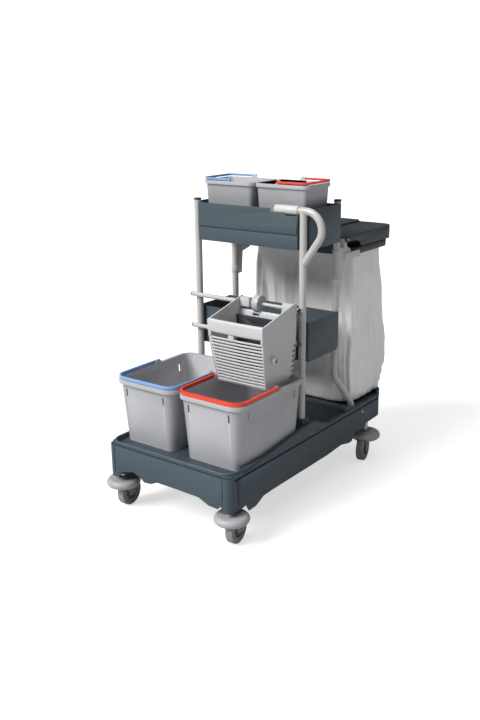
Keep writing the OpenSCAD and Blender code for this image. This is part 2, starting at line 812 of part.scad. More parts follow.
module lid() color(darker) {
  difference() {
    union() {
      at([0, 0, lid_low]) linear_extrude(lid_top - lid_low)
        base_outline(lid_hw, lid_front, lid_rear, lid_r0, lid_r1);
      // raised panel
      at([0, 0, lid_top - 1]) linear_extrude(8)
        round_rect(-100, lid_front + 20, 100, lid_rear - 4, 20);
    }
    at([0, 0, lid_low - 1]) linear_extrude(lid_top - lid_low - 3)
      base_outline(lid_hw - 4, lid_front + 4, lid_rear - 4, lid_r0 - 4, lid_r1 - 4);
    // arches over the brackets, open at the front wall
    for (s = [-1, 1]) {
      along_x(s * px - 24, s * px + 24) polygon([
        [lid_front - 10, lid_low - 1], [lid_front - 10, 890], [ring_y0 + 20, 890],
        [ring_y0 + 46, 882], [ring_y0 + 60, lid_low - 1]]);
      at([s * px, 0, 0]) box(s < 0 ? -13 : -24, s < 0 ? 24 : 13, lid_front - 1, lid_front + 7,
                             lid_low - 1, lid_top - 4);
    }
    // pin holes
    at([0, lid_hinge_y, lid_hinge_z]) rod_x(-lid_hw - 1, lid_hw + 1, 3.05);
  }
}

module lid_hinge_pins() color(steel) {
  for (s = [-1, 1]) at([0, lid_hinge_y, lid_hinge_z])
    rod_x(min(s * (px - 8), s * 246), max(s * (px - 8), s * 246), 3);
}

// ---- casters ----

// Everything inside is drawn with the swivel axis on Z and the trail along +X
module caster_frame(i) at([caster_places[i][0], caster_places[i][1], 0])
  rotate([0, 0, caster_turn[i]]) children();

module caster_stems() color(steel) {
  for (p = caster_places) at([p[0], p[1], fork_top - 8 + stem_gap])
    cylinder(h = 112, r = stem_r);
}

// Room for the wheel between the fork's cheeks
module wheel_room(half) at([trail, 0, wheel_d / 2]) rod_y(-half, half, wheel_d / 2 + 3);

module fork(i) color(wheel_grey) caster_frame(i) {
  half = wheel_w / 2 + 1.5;
  difference() {
    union() {
      // crown
      at([0, 0, bumper_z0 - 1]) cylinder(h = fork_top - bumper_z0 + 1, r = crown_r);
      // cheeks
      for (s = [-1, 1]) along_y(min(s * half, s * (half + fork_t)),
                                max(s * half, s * (half + fork_t)))
        polygon([[-22, 106], [48, 106], [trail + 12, 40], [trail - 12, 40]]);
      box(-22, 48, -half - 1, half + 1, 103, 107);
    }
    at([0, 0, fork_top - 8]) cylinder(h = 20, r = stem_r + stem_gap);
    wheel_room(half);
    at([trail, 0, wheel_d / 2]) rod_y(-40, 40, axle_r);
  }
}

module bumper(i) color(grey) caster_frame(i) {
  r = (bumper_z1 - bumper_z0) / 2;
  difference() {
    at([0, 0, (bumper_z0 + bumper_z1) / 2]) {
      rotate_extrude() at([bumper_d / 2 - r, 0]) circle(r);
      at([0, 0, -r]) cylinder(h = 2 * r, r = bumper_d / 2 - r);
    }
    cylinder(h = 200, r = crown_r);
    // the cheeks and the wheel reach up into it
    wheel_room(wheel_w / 2 + 1.5 + fork_t);
    box(-22.2, 48.2, -wheel_w / 2 - 1.7 - fork_t, wheel_w / 2 + 1.7 + fork_t, 60, 107.2);
  }
}

module tyre(i) color(wheel_grey) caster_frame(i) at([trail, 0, wheel_d / 2]) difference() {
  union() {
    rod_y(-wheel_w / 2 + 5, wheel_w / 2 - 5, wheel_d / 2);
    for (s = [-1, 1]) at([0, s * (wheel_w / 2 - 5), 0]) rotate([90, 0, 0])
      rotate_extrude() at([wheel_d / 2 - 5, 0]) circle(5);
    rod_y(-wheel_w / 2, wheel_w / 2, wheel_d / 2 - 5);
  }
  rod_y(-wheel_w, wheel_w, hub_r);
}

module hub(i) color(grey) caster_frame(i) at([trail, 0, wheel_d / 2]) difference() {
  union() {
    difference() {
      rod_y(-wheel_w / 2 + 1, wheel_w / 2 - 1, hub_r);
      rod_y(-wheel_w, wheel_w, hub_r - 4);
    }
    rod_y(-wheel_w / 2, wheel_w / 2, 10);
    for (a = [0 : 45 : 315]) rotate([0, a, 0]) box(8, hub_r - 3, -9, 9, -2, 2);
    rod_y(-2, 2, hub_r - 3);
  }
  rod_y(-wheel_w, wheel_w, axle_r + bush_gap);
}

module axle(i) color(steel) caster_frame(i) at([trail, 0, wheel_d / 2]) {
  rod_y(-wheel_w / 2 - 7.5, wheel_w / 2 + 7.5, axle_r);
}

chassis();
deck_tray();
post_front(-1);  // post_front_left
post_front(1);  // post_front_right
post_rear(-1);  // post_rear_left
post_rear(1);  // post_rear_right
post_caps();
rail(rail_up);  // rail_upper
rail(rail_low);  // rail_lower
rail_end_caps();
rail_saddles();
top_tray();
mid_tray();
tray_clips();
push_handle();
handle_sleeve();
bag_bracket(-1);  // bag_bracket_left
bag_bracket(1);  // bag_bracket_right
bag_ring();
waste_bag();
lid_hinge_pins();
caster_stems();
deck_screws();
bucket(-1);  // bucket_left
bucket(1);  // bucket_right
bucket_bail(-1, blue);  // bail_left
bucket_bail(1, red);  // bail_right
pail(-1);  // pail_left
pail(1);  // pail_right
pail_bail(-1, blue);  // pail_bail_left
pail_bail(1, red);  // pail_bail_right
press_body();
press_hooks();
press_plate();
press_lever();
press_shaft();
press_knobs();
lid();
fork(0);  // fork_fl
fork(1);  // fork_fr
fork(2);  // fork_rl
fork(3);  // fork_rr
bumper(0);  // bumper_fl
bumper(1);  // bumper_fr
bumper(2);  // bumper_rl
bumper(3);  // bumper_rr
tyre(0);  // tyre_fl
tyre(1);  // tyre_fr
tyre(2);  // tyre_rl
tyre(3);  // tyre_rr
hub(0);  // hub_fl
hub(1);  // hub_fr
hub(2);  // hub_rl
hub(3);  // hub_rr
axle(0);  // axle_fl
axle(1);  // axle_fr
axle(2);  // axle_rl
axle(3);  // axle_rr
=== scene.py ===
"""Looks for the housekeeping cart: studio, materials and detailed pieces over the CAD frame."""
import json
import math
import random

import bmesh
import bpy
from mathutils import Matrix, Vector, noise


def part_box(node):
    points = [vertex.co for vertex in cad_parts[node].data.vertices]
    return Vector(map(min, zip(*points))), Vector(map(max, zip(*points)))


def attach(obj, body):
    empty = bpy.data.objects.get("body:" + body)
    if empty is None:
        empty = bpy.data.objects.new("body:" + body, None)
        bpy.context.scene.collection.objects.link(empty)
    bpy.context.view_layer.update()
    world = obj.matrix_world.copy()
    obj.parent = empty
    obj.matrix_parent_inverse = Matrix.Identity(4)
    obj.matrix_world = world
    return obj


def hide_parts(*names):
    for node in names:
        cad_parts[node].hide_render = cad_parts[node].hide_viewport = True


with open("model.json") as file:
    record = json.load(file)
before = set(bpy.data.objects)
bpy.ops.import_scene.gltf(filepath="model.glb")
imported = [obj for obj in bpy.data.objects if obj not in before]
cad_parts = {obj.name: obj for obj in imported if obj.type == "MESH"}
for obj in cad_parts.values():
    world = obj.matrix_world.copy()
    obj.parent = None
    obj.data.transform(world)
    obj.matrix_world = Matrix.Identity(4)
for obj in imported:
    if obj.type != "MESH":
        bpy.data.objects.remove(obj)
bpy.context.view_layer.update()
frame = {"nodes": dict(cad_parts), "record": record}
nodes = frame["nodes"]
MM = 0.001
random.seed(7)
scene = bpy.context.scene

# ---------------------------------------------------------------- camera and studio

AZIMUTH, ELEVATION, ROLL = math.radians(37.10), math.radians(17.35), math.radians(-0.67)
CAMERA_PLACE = Vector((1.764, -2.454, 1.405))
WORLD_LIGHT, FLOOR_GLOW = 0.20, 0.62


def make_camera():
    a, e, r = AZIMUTH, ELEVATION, ROLL
    forward = Vector((-math.sin(a) * math.cos(e), math.cos(a) * math.cos(e), -math.sin(e)))
    right0 = Vector((math.cos(a), math.sin(a), 0))
    up0 = right0.cross(forward)
    right = right0 * math.cos(r) + up0 * math.sin(r)
    up = up0 * math.cos(r) - right0 * math.sin(r)
    data = bpy.data.cameras.new("camera")
    data.lens, data.sensor_width = 43.0, 36.0
    data.clip_end = 100
    cam = bpy.data.objects.new("camera", data)
    scene.collection.objects.link(cam)
    m = Matrix((right, up, -forward)).transposed().to_4x4()
    m.translation = CAMERA_PLACE
    cam.matrix_world = m
    scene.camera = cam


def sun(name, towards, strength, spread, colour):
    """A wide sun lights the whole floor evenly and throws soft shadows."""
    data = bpy.data.lights.new(name, "SUN")
    data.energy, data.angle, data.color = strength, math.radians(spread), colour
    lamp = bpy.data.objects.new(name, data)
    scene.collection.objects.link(lamp)
    lamp.location = (0, 0, 4)
    lamp.rotation_euler = Vector(towards).to_track_quat("-Z", "Y").to_euler()


def make_world():
    world = bpy.data.worlds.new("studio")
    scene.world = world
    world.use_nodes = True
    t = world.node_tree
    t.nodes.clear()
    out = t.nodes.new("ShaderNodeOutputWorld")
    mix = t.nodes.new("ShaderNodeMixShader")
    seen = t.nodes.new("ShaderNodeBackground")
    lit = t.nodes.new("ShaderNodeBackground")
    path = t.nodes.new("ShaderNodeLightPath")
    seen.inputs["Color"].default_value = (1, 1, 1, 1)
    lit.inputs["Color"].default_value = (0.96, 0.98, 1.0, 1)
    lit.inputs["Strength"].default_value = WORLD_LIGHT
    t.links.new(path.outputs["Is Camera Ray"], mix.inputs[0])
    t.links.new(lit.outputs[0], mix.inputs[1])
    t.links.new(seen.outputs[0], mix.inputs[2])
    t.links.new(mix.outputs[0], out.inputs[0])


def make_floor():
    """Pale floor; its glow is seen by the camera and throws no light on the cart."""
    mesh = bpy.data.meshes.new("floor")
    bm = bmesh.new()
    bmesh.ops.create_circle(bm, cap_ends=True, segments=96, radius=14)
    bm.to_mesh(mesh)
    bm.free()
    floor = bpy.data.objects.new("floor", mesh)
    scene.collection.objects.link(floor)
    mat = bpy.data.materials.new("floor")
    mat.use_nodes = True
    t = mat.node_tree
    b = t.nodes["Principled BSDF"]
    b.inputs["Base Color"].default_value = (0.55, 0.55, 0.555, 1)
    b.inputs["Roughness"].default_value = 0.85
    b.inputs["Specular IOR Level"].default_value = 0.1
    b.inputs["Emission Color"].default_value = (1, 1, 1, 1)
    path = t.nodes.new("ShaderNodeLightPath")
    glow = t.nodes.new("ShaderNodeMath")
    glow.operation = "MULTIPLY"
    glow.inputs[1].default_value = FLOOR_GLOW
    t.links.new(path.outputs["Is Camera Ray"], glow.inputs[0])
    t.links.new(glow.outputs[0], b.inputs["Emission Strength"])
    mesh.materials.append(mat)


scene.view_settings.view_transform = "Standard"
scene.view_settings.look = "None"
make_camera()
make_world()
make_floor()
sun("key", (0.42, 1.0, -0.92), 3.9, 30, (1.0, 0.995, 0.98))
sun("top", (0.0, 0.12, -1.0), 0.95, 70, (1, 1, 1))

# ---------------------------------------------------------------- materials


class Shader:
    """Small helper for building a node material."""

    def __init__(self, name):
        self.mat = bpy.data.materials.new(name)
        self.mat.use_nodes = True
        self.t = self.mat.node_tree
        self.bsdf = self.t.nodes["Principled BSDF"]
        self.coord = self.t.nodes.new("ShaderNodeTexCoord").outputs["Object"]

    def noise(self, scale, detail=3.0, stretch=None):
        n = self.t.nodes.new("ShaderNodeTexNoise")
        n.inputs["Scale"].default_value = scale
        n.inputs["Detail"].default_value = detail
        if stretch:
            m = self.t.nodes.new("ShaderNodeMapping")
            m.inputs["Scale"].default_value = stretch
            self.t.links.new(self.coord, m.inputs["Vector"])
            self.t.links.new(m.outputs[0], n.inputs["Vector"])
        else:
            self.t.links.new(self.coord, n.inputs["Vector"])
        return n.outputs["Fac"]

    def ramp(self, fac, stops):
        r = self.t.nodes.new("ShaderNodeValToRGB")
        while len(r.color_ramp.elements) < len(stops):
            r.color_ramp.elements.new(0.5)
        for el, (p, c) in zip(r.color_ramp.elements, stops):
            el.position = p
            el.color = (*c, 1) if len(c) == 3 else c
        self.t.links.new(fac, r.inputs[0])
        return r.outputs["Color"]

    def value(self, fac, lo, hi):
        m = self.t.nodes.new("ShaderNodeMapRange")
        m.inputs["To Min"].default_value, m.inputs["To Max"].default_value = lo, hi
        m.inputs["From Min"].default_value, m.inputs["From Max"].default_value = 0.3, 0.7
        self.t.links.new(fac, m.inputs["Value"])
        return m.outputs[0]

    def mix(self, fac, a, b):
        m = self.t.nodes.new("ShaderNodeMix")
        m.data_type = "RGBA"
        self.t.links.new(fac, m.inputs["Factor"])
        for key, v in (("A", a), ("B", b)):
            socket = [i for i in m.inputs if i.name == key and i.type == "RGBA"][0]
            if isinstance(v, tuple):
                socket.default_value = (*v, 1)
            else:
                self.t.links.new(v, socket)
        return [o for o in m.outputs if o.type == "RGBA"][0]

    def edges(self, lo, hi):
        """Bright on convex edges, for wear."""
        g = self.t.nodes.new("ShaderNodeNewGeometry")
        m = self.t.nodes.new("ShaderNodeMapRange")
        m.inputs["From Min"].default_value, m.inputs["From Max"].default_value = lo, hi
        self.t.links.new(g.outputs["Pointiness"], m.inputs["Value"])
        return m.outputs[0]

    def bump(self, *layers):
        """layers of (height, distance in metres, strength)"""
        last = None
        for height, distance, strength in layers:
            b = self.t.nodes.new("ShaderNodeBump")
            b.inputs["Distance"].default_value = distance
            b.inputs["Strength"].default_value = strength
            self.t.links.new(height, b.inputs["Height"])
            if last:
                self.t.links.new(last, b.inputs["Normal"])
            last = b.outputs[0]
        self.t.links.new(last, self.bsdf.inputs["Normal"])

    def set(self, **kw):
        for k, v in kw.items():
            socket = self.bsdf.inputs[k.replace("_", " ")]
            if isinstance(v, bpy.types.NodeSocket):
                self.t.links.new(v, socket)
            else:
                socket.default_value = (*v, 1) if isinstance(v, tuple) else v
        return self.mat


def shade(c, k):
    return tuple(min(1, x * k) for x in c)


def moulded(name, colour, rough=0.48, grain=0.00012, mottle=0.06, scuff=0.10, wear=1.25):
    """Moulded plastic: fine sparked grain, slow colour drift, faint scuffs, lighter edges."""
    s = Shader(name)
    drift = s.noise(5, 4)
    fine = s.noise(1400, 2)
    scuffs = s.noise(38, 8, (1, 1, 3.2))
    base = s.ramp(drift, [(0.3, shade(colour, 1 - mottle)), (0.7, shade(colour, 1 + mottle))])
    base = s.mix(s.value(scuffs, 0.0, scuff), base, shade(colour, 1.5))
    base = s.mix(s.edges(0.51, 0.60), base, shade(colour, wear))
    s.bump((fine, grain, 0.5), (scuffs, 0.0002, 0.12))
    return s.set(Base_Color=base, Roughness=s.value(scuffs, rough - 0.07, rough + 0.09),
                 Specular_IOR_Level=0.42)


def painted_tube(name, colour):
    s = Shader(name)
    orange = s.noise(420, 2)
    drift = s.noise(9, 5, (1, 1, 0.35))
    base = s.ramp(drift, [(0.3, shade(colour, 0.94)), (0.7, shade(colour, 1.04))])
    s.bump((orange, 0.0001, 0.25))
    return s.set(Base_Color=base, Roughness=s.value(drift, 0.26, 0.38),
                 Specular_IOR_Level=0.5, Coat_Weight=0.25, Coat_Roughness=0.2)


def plated(name, colour):
    s = Shader(name)
    brushed = s.noise(120, 4, (1, 1, 14))
    base = s.ramp(brushed, [(0.3, shade(colour, 0.85)), (0.7, colour)])
    s.bump((brushed, 0.00005, 0.3))
    return s.set(Base_Color=base, Metallic=1.0, Roughness=s.value(brushed, 0.28, 0.45))


def tread(name, colour):
    s = Shader(name)
    fine = s.noise(900, 3)
    dust = s.noise(60, 6)
    base = s.ramp(dust, [(0.35, shade(colour, 0.85)), (0.72, shade(colour, 1.3))])
    s.bump((fine, 0.0003, 0.4), (dust, 0.0004, 0.2))
    return s.set(Base_Color=base, Roughness=s.value(dust, 0.62, 0.8), Specular_IOR_Level=0.3)


def bag_film(name):
    s = Shader(name)
    wrinkle = s.noise(55, 6, (1, 1, 0.22))
    crease = s.noise(210, 5, (1, 1, 0.5))
    base = s.ramp(wrinkle, [(0.25, (0.84, 0.84, 0.855)), (0.75, (0.94, 0.94, 0.945))])
    s.bump((wrinkle, 0.003, 0.35), (crease, 0.0008, 0.3))
    return s.set(Base_Color=base, Roughness=s.value(crease, 0.34, 0.5), Specular_IOR_Level=0.45,
                 Subsurface_Weight=0.12, Subsurface_Scale=0.01)


SLATE = (0.042, 0.060, 0.075)
BLACK = (0.022, 0.026, 0.033)
PALE = (0.50, 0.495, 0.485)
GREY = (0.395, 0.400, 0.420)
mats = {
    "slate": moulded("slate", SLATE, 0.50, wear=1.35),
    "black_plastic": moulded("black_plastic", BLACK, 0.44, wear=1.5),
    "press_plate": moulded("press_plate", (0.022, 0.025, 0.030), 0.40),
    "tube": painted_tube("tube", (0.47, 0.462, 0.445)),
    "light_plastic": moulded("light_plastic", PALE, 0.42, scuff=0.04, wear=1.08),
    "grey_plastic": moulded("grey_plastic", GREY, 0.40, scuff=0.05, wear=1.12),
    "press_grey": moulded("press_grey", (0.50, 0.505, 0.515), 0.40, scuff=0.05, wear=1.12),
    "blue": moulded("blue", (0.19, 0.33, 0.60), 0.34, scuff=0.05, wear=1.15),
    "red": moulded("red", (0.72, 0.055, 0.030), 0.34, scuff=0.04, wear=1.15),
    "bag": bag_film("bag"),
    "steel": plated("steel", (0.62, 0.62, 0.63)),
    "fork": moulded("fork", (0.20, 0.196, 0.192), 0.45),
    "bumper": moulded("bumper", (0.34, 0.34, 0.355), 0.40, scuff=0.08),
    "wheel_rubber": tread("wheel_rubber", (0.25, 0.245, 0.24)),
    "wheel_hub": moulded("wheel_hub", (0.25, 0.245, 0.24), 0.5),
}
slot_of = {p["node"]: p["material_slot"] for p in frame["record"]["subparts"]}
body_of = {n: b for b, ns in frame["record"]["behaviour"]["bodies"].items() for n in ns}
for n, o in nodes.items():
    o.data.materials.clear()
    o.data.materials.append(mats[slot_of[n]])

# ---------------------------------------------------------------- mesh helpers


def finish_mesh(mesh, angle=38):
    mesh.shade_smooth()
    mesh.set_sharp_from_angle(angle=math.radians(angle))


def piece(name, mesh, *stands_for, body=None, slot=None, angle=38):
    """Links a mesh as a piece that rides on its body and stands for CAD nodes."""
    o = bpy.data.objects.new(name, mesh)
    scene.collection.objects.link(o)
    finish_mesh(mesh, angle)
    slot = slot or slot_of[stands_for[0]]
    if not mesh.materials:
        mesh.materials.append(mats[slot])
    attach(o, body or body_of[stands_for[0]])
    if stands_for:
        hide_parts(*stands_for)
    return o


def apply_modifiers(o):
    dg = bpy.context.evaluated_depsgraph_get()
    mesh = bpy.data.meshes.new_from_object(o.evaluated_get(dg))
    o.modifiers.clear()
    o.data = mesh
    return mesh


def rounded(mesh, width, segments=2, angle=32):
    """The mesh with its hard edges rounded by width metres."""
    o = bpy.data.objects.new("work", mesh)
    scene.collection.objects.link(o)
    m = o.modifiers.new("bevel", "BEVEL")
    m.width, m.segments, m.limit_method = width, segments, "ANGLE"
    m.angle_limit = math.radians(angle)
    m.miter_outer = "MITER_ARC"
    m.use_clamp_overlap = True
    mesh = apply_modifiers(o)
    bpy.data.objects.remove(o)
    return mesh


def clean_copy(node):
    mesh = nodes[node].data.copy()
    bm = bmesh.new()
    bm.from_mesh(mesh)
    bmesh.ops.remove_doubles(bm, verts=bm.verts, dist=2e-6)
    bmesh.ops.dissolve_limit(bm, angle_limit=math.radians(0.6), verts=bm.verts, edges=bm.edges)
    bm.to_mesh(mesh)
    bm.free()
    return mesh


def to_mesh(bm, name, scale=MM):
    bmesh.ops.scale(bm, vec=(scale,) * 3, verts=bm.verts)
    bmesh.ops.recalc_face_normals(bm, faces=bm.faces)
    mesh = bpy.data.meshes.new(name)
    bm.to_mesh(mesh)
    bm.free()
    return mesh


def add_box(bm, x0, x1, y0, y1, z0, z1):
    place = Matrix.Translation(((x0 + x1) / 2, (y0 + y1) / 2, (z0 + z1) / 2))
    size = Matrix.Diagonal((x1 - x0, y1 - y0, z1 - z0, 1))
    bmesh.ops.create_cube(bm, size=1, matrix=place @ size)


def add_prism(bm, outline, x0, x1):
    """Closed prism along x from a (y, z) outline."""
    ends = [[bm.verts.new((x, y, z)) for y, z in outline] for x in (x0, x1)]
    bm.faces.new(ends[0])
    bm.faces.new(ends[1][::-1])
    for i in range(len(outline)):
        k = (i + 1) % len(outline)
        bm.faces.new((ends[0][i], ends[1][i], ends[1][k], ends[0][k]))


def add_turned(bm, profile, centre, axis="X", steps=40):
    """Ring or disc turned about an axis; profile holds (along, radius) pairs of a closed loop."""
    rings = []
    for k in range(steps):
        a = 2 * math.pi * k / steps
        c, s = math.cos(a), math.sin(a)
        ring = []
        for d, r in profile:
            p = {"X": (d, r * c, r * s), "Y": (r * c, d, r * s), "Z": (r * c, r * s, d)}[axis]
            ring.append(bm.verts.new(Vector(centre) + Vector(p)))
        rings.append(ring)
    n = len(profile)
    for k in range(steps):
        for i in range(n):
            a, b = rings[k], rings[(k + 1) % steps]
            bm.faces.new((a[i], b[i], b[(i + 1) % n], a[(i + 1) % n]))


def add_rod(bm, axis, a, b, c0, c1, r, steps=32):
    """Solid round bar along an axis from a to b; c0 and c1 are its other two coordinates."""
    turn = {"X": Matrix.Rotation(math.pi / 2, 4, "Y"), "Y": Matrix.Rotation(math.pi / 2, 4, "X"),
            "Z": Matrix.Identity(4)}[axis]
    m = (a + b) / 2
    at = {"X": (m, c0, c1), "Y": (c0, m, c1), "Z": (c0, c1, m)}[axis]
    bmesh.ops.create_cone(bm, cap_ends=True, segments=steps, radius1=r, radius2=r,
                          depth=b - a, matrix=Matrix.Translation(at) @ turn)


def carved(mesh, bm_cutter):
    """The mesh with the cutter's solids taken away."""
    tool = bpy.data.objects.new("tool", to_mesh(bm_cutter, "tool"))
    o = bpy.data.objects.new("work", mesh)
    for x in (tool, o):
        scene.collection.objects.link(x)
    m = o.modifiers.new("cut", "BOOLEAN")
    m.operation, m.solver, m.object = "DIFFERENCE", "EXACT", tool
    mesh = apply_modifiers(o)
    for x in (tool, o):
        bpy.data.objects.remove(x)
    return mesh


BAIL_SLIMMING = 0.25


def soften(node, width, segments=2, angle=32):
    """The CAD node again with its edges rounded over by width millimetres."""
    mesh = rounded(clean_copy(node), width * MM, segments, angle)
    if "bail" in node:
        for v in mesh.vertices:
            v.co -= v.normal * BAIL_SLIMMING * MM
    if node == "chassis":
        mesh = carved(mesh, chassis_grooves())
    return piece("soft_" + node, mesh, node)


def chassis_grooves():
    """Parting grooves beside the front corners of the base."""
    lo, hi = (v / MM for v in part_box("chassis"))
    bm = bmesh.new()
    for side in (-1, 1):
        x = side * (hi.x - 30)
        add_box(bm, x - 1.8, x + 1.8, lo.y - 3, lo.y + 2.2, 150, hi.z + 5)
        a, b = sorted((side * (hi.x - 2.2), side * (hi.x + 3)))
        add_box(bm, a, b, lo.y + 43, lo.y + 46.6, 150, hi.z + 5)
    return bm


SOFT = {
    "chassis": 3.0, "deck_tray": 2.5, "top_tray": 1.4, "mid_tray": 1.4, "lid": 6.0,
    "bag_ring": 3.0, "bail_left": 2.6, "bail_right": 2.6, "pail_left": 0.8, "pail_right": 0.8,
    "pail_bail_left": 1.6, "pail_bail_right": 1.6, "press_hooks": 1.5, "press_lever": 3.0,
    "bag_bracket_left": 1.6, "bag_bracket_right": 1.6,
    "post_caps": 1.2, "rail_end_caps": 1.0, "tray_clips": 1.0, "handle_sleeve": 0.8,
}
for name, width in SOFT.items():
    soften(name, width)

# ---------------------------------------------------------------- buckets

BUCKET_X = 137
SLOT_HALF, SLOT_LOW, SLOT_TOP = 3.5, 412, 440
FRONT_SLOTS_X, SIDE_SLOTS_Y = (-82, 82), (-418, -159)


def make_bucket(node, side):
    """Bucket with the slots below its rim cut right through the wall."""
    bm = bmesh.new()
    for dx in FRONT_SLOTS_X:
        x = side * BUCKET_X + dx
        add_box(bm, x - SLOT_HALF, x + SLOT_HALF, -480, -425, SLOT_LOW, SLOT_TOP)
    near, far = sorted((side * 215, side * 260))
    for y in SIDE_SLOTS_Y:
        add_box(bm, near, far, y - SLOT_HALF, y + SLOT_HALF, SLOT_LOW, SLOT_TOP)
    piece("soft_" + node, rounded(carved(clean_copy(node), bm), 1.0 * MM), node)


make_bucket("bucket_left", -1)
make_bucket("bucket_right", 1)

# ---------------------------------------------------------------- base lip


def make_lip():
    """Raised lip round the front of the deck, swept as an eased strip."""
    lo, hi = (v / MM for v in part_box("chassis"))
    inset, corner, back = 5, 46, -70.0
    half, y0 = hi.x - inset, lo.y + inset
    path = [(half, back, 1.0, 0.0)]
    for sx in (1, -1):
        for k in range(13):
            a = math.pi / 2 * k / 12
            a = a if sx > 0 else math.pi / 2 - a
            path.append((sx * (half - corner + corner * math.cos(a)), y0 + corner
                         - corner * math.sin(a), sx * math.cos(a), -math.sin(a)))
    path.append((-half, back, -1.0, 0.0))
    # (out from the path, height): a neck at the foot leaves a dark gap, the top is eased
    section = [(-4, 243), (-4, 249), (0, 250.5), (0, 261),
               (-2, 263), (-5, 263), (-7, 261), (-7, 243)]
    bm = bmesh.new()
    rings = [[bm.verts.new((x + nx * d, y + ny * d, z)) for d, z in section]
             for x, y, nx, ny in path]
    for a, b in zip(rings, rings[1:]):
        for i in range(len(section)):
            k = (i + 1) % len(section)
            bm.faces.new((a[i], b[i], b[k], a[k]))
    bm.faces.new(rings[0])
    bm.faces.new(rings[-1][::-1])
    return to_mesh(bm, "deck_lip")


piece("deck_lip", make_lip(), body=body_of["deck_tray"], slot="slate")

# ---------------------------------------------------------------- press

PRESS_X, PRESS_HALF = 132, 112
PRESS_LEFT, PRESS_RIGHT, SIDE_T = 20, 244, 4.4
SHAFT_Y, SHAFT_Z, SHAFT_HOLE = -137, 714, 6.3
PEG_Y, PEG_Z = -265, 569
SLATS, SLAT_LOW, SLAT_PITCH, SLAT_HIGH = 14, 476, 11.6, 6.6
NARROW_TOP, NARROW_DEEP, NARROW_BY = 640, 170, 0.10
# (height, y) down the front of the press, from its foot up
FRONT_EDGE = [(470, -289), (540, -305), (601, -316), (660, -324), (689, -326)]


def front_y(z):
    for (z0, y0), (z1, y1) in zip(FRONT_EDGE, FRONT_EDGE[1:]):
        if z <= z1:
            return y0 + (y1 - y0) * (z - z0) / (z1 - z0)
    return FRONT_EDGE[-1][1]


def narrow(mesh):
    """Draws the press in towards its foot."""
    for v in mesh.vertices:
        x, y, z = v.co / MM
        k = 1 - NARROW_BY * max(0.0, NARROW_TOP - z) / NARROW_DEEP
        v.co.x = (PRESS_X + (x - PRESS_X) * k) * MM
    return mesh


def add_slat(bm, z0, height, x0, x1, bow, depth=3.6, chamfer=1.1, steps=24):
    """One bowed bar across the front, with eased edges."""
    zc = z0 + height / 2
    section = [(0, chamfer), (0, height - chamfer), (chamfer, height), (depth - chamfer, height),
               (depth, height - chamfer), (depth, chamfer), (depth - chamfer, 0), (chamfer, 0)]
    rings = []
    for i in range(steps + 1):
        x = x0 + (x1 - x0) * i / steps
        u = (x - PRESS_X) / PRESS_HALF
        y = front_y(zc) - bow * (1 - u * u)
        rings.append([bm.verts.new((x, y + a, z0 + b)) for a, b in section])
    for a, b in zip(rings, rings[1:]):
        for i in range(len(section)):
            k = (i + 1) % len(section)
            bm.faces.new((a[i], b[i], b[k], a[k]))
    bm.faces.new(rings[0])
    bm.faces.new(rings[-1][::-1])


def press_side_outline():
    """Outline of a side plate with the notches in its rear edge."""
    foot, rear_low, rear_high = (-175, 470), (-137, 490), (-129, 606)
    rear = []
    for k in range(6):
        z = 494 + 18 * k
        for dz, cut in ((0, 0), (1, 13), (9, 13), (11, 0)):
            rear.append((-137 + 8 * (z + dz - 490) / 110 - cut, z + dz))
    front = [(y, z) for z, y in reversed(FRONT_EDGE)]
    top = [(-129, 730), (-132, 733.5), (-137, 735), (-150, 732)]
    return front + [foot, rear_low] + rear + [rear_high] + top


def make_press_sides():
    bm = bmesh.new()
    for x0 in (PRESS_LEFT, PRESS_RIGHT - SIDE_T):
        add_prism(bm, press_side_outline(), x0, x0 + SIDE_T)
    sides = to_mesh(bm, "sides")
    holes = bmesh.new()
    x0, x1 = PRESS_LEFT - 10, PRESS_RIGHT + 10
    add_rod(holes, "X", x0, x1, SHAFT_Y, SHAFT_Z, SHAFT_HOLE)
    # upright slot beside the peg
    for z in (579, 565):
        add_rod(holes, "X", x0, x1, -247, z, 5)
    add_box(holes, x0, x1, -252, -242, 565, 579)
    return rounded(carved(sides, holes), 0.9 * MM)


def make_press_walls():
    bm = bmesh.new()
    # rear wall and floor
    add_box(bm, 22, 242, -154, -150, 474, 684)
    add_box(bm, 22, 242, -288, -150, 470, 475)
    # flanges beside the slats
    for x0, wide in ((21, 11), (238, 5)):
        add_prism(bm, [(-289, 470), (-305, 540), (-316, 601), (-323, 650), (-317, 650),
                       (-310, 601), (-299, 540), (-283, 470)], x0, x0 + wide)
    # fillers below the top band
    for x0, x1 in ((22, 30), (104, 127), (236, 242)):
        add_box(bm, x0, x1, -323.5, -317, 632, 650)
    # corner blocks at the rear
    for x0 in (24, 200):
        add_box(bm, x0, x0 + 40, -152, -131, 700, 731)
    walls = to_mesh(bm, "walls")
    holes = bmesh.new()
    # way for the lever, two round holes and the drain slots
    add_box(holes, 81, 109, -160, -140, 674, 760)
    for x in (72, 192):
        add_rod(holes, "Y", -160, -145, x, 600, 5.1)
    for x in range(40, 220, 30):
        add_box(holes, x, x + 18, -262, -174, 465, 480)
    return rounded(carved(walls, holes), 0.8 * MM)


def make_press_bars():
    """Slats, the thick top band and the cross bar at the rear."""
    bm = bmesh.new()
    for k in range(SLATS):
        add_slat(bm, SLAT_LOW + SLAT_PITCH * k, SLAT_HIGH, 29, 240, 3.5)
    add_slat(bm, 647, 45, 20.5, 243.5, 5.0, depth=14, chamfer=5)
    add_rod(bm, "X", 23, 241, -143, 684, 6)
    return rounded(to_mesh(bm, "bars"), 0.5 * MM, angle=25)


def make_press_shell():
    bm = bmesh.new()
    for mesh in (make_press_sides(), make_press_walls(), make_press_bars()):
        bm.from_mesh(mesh)
    return narrow(to_mesh(bm, "press_shell", 1.0))


